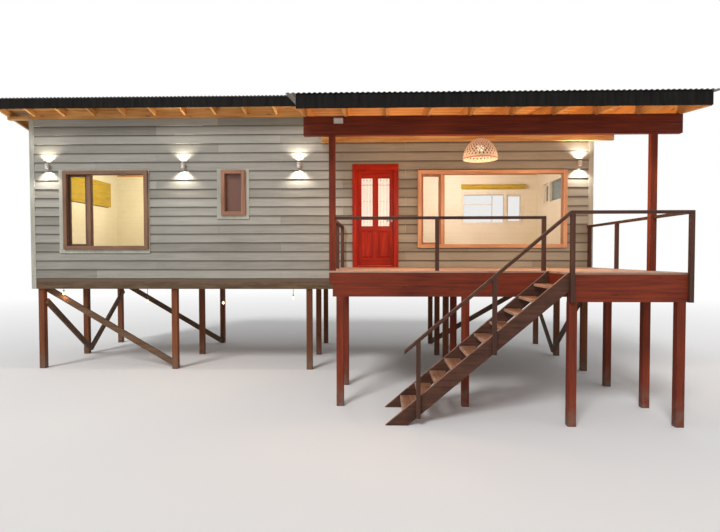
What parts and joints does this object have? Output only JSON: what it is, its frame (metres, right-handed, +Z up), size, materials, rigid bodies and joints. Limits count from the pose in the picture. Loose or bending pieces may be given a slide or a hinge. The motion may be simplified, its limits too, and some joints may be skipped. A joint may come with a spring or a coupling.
{
  "type": "timber stilt house with covered deck",
  "caption": "Long timber house raised on posts, with a mono-pitch roof, a covered deck and landing, an open stair, clad walls, glazed windows and a hinged panelled door.",
  "frame": {"origin": "on the ground, under the middle of the bounding box", "axes": "+X along the front to the right as seen from the deck side, +Y from the deck into the house, +Z up"},
  "size_m": [12.7026, 7.7184, 5.58],
  "materials": {
    "post_timber": "red-brown stain, sawn",
    "brace_timber": "dark stain, sawn",
    "frame_timber": "sawn",
    "floor_boards": "planed",
    "cladding": "painted grey-green, satin",
    "skirt": "painted, weathered",
    "corner_trim": "painted light grey",
    "pine": "clear varnish",
    "roof_sheet": "rippled, weathered zinc",
    "fascia": "black, satin",
    "window_frame": "brown stain",
    "window_sash": "dark stain",
    "window_glass": "clear",
    "bamboo": "split bamboo",
    "door_timber": "red varnish",
    "door_glass": "frosted",
    "hardware": "satin",
    "lamp_body": "dark grey",
    "shade": "woven cane",
    "lamp_fitting": "turned wood and bulb",
    "bulb": "lit",
    "deck_timber": "red-brown stain",
    "deck_boards": "weathered boards",
    "rail_timber": "dark brown stain",
    "stair_timber": "dark stain, worn",
    "tread_timber": "worn boards"
  },
  "bodies": {
    "house": {"house_posts": "post_timber", "post_braces": "brace_timber", "floor_bearers": "frame_timber", "floor_joists": "frame_timber", "house_floor": "floor_boards", "skirt_boards": "skirt", "front_wall_left": "cladding", "front_wall_right": "cladding", "front_wall_over_door": "cladding", "left_wall": "cladding", "right_wall": "cladding", "back_wall": "cladding", "corner_boards": "corner_trim", "wall_plates": "pine", "main_rafters": "pine", "main_roof_boards": "pine", "main_roof_sheet": "roof_sheet", "main_fascia": "fascia", "left_window_frame": "window_frame", "small_window_frame": "window_frame", "big_window_frame": "window_frame", "rear_window_frames": "window_frame", "window_sashes": "window_sash", "window_glass": "window_glass", "window_blinds": "bamboo", "door_frame": "door_timber", "jamb_hinges": "hardware", "wall_lamps": "lamp_body", "floodlight": "lamp_body", "pendant_shade": "shade", "pendant_lamp": "lamp_fitting", "ground_lamps": "bulb", "deck_posts": "deck_timber", "deck_beams": "deck_timber", "deck_joists": "frame_timber", "deck_rim": "deck_timber", "deck_floor": "deck_boards", "porch_posts": "deck_timber", "porch_beams": "deck_timber", "porch_rafters": "pine", "porch_roof_boards": "pine", "porch_roof_sheet": "roof_sheet", "porch_fascia": "fascia", "rail_posts": "rail_timber", "hand_rails": "rail_timber", "stair_stringers": "stair_timber", "stair_treads": "tread_timber"},
    "door": {"door_leaf": "door_timber", "door_glass": "door_glass", "door_handle": "hardware", "leaf_hinges": "hardware"}
  },
  "joints": [
    {"name": "door_hinge", "type": "hinge", "parent": "house", "child": "door", "pos_m": [1.0325, -0.07917, 3.17], "axis": [0, 0, 1], "range_deg": [0, 95]}
  ]
}
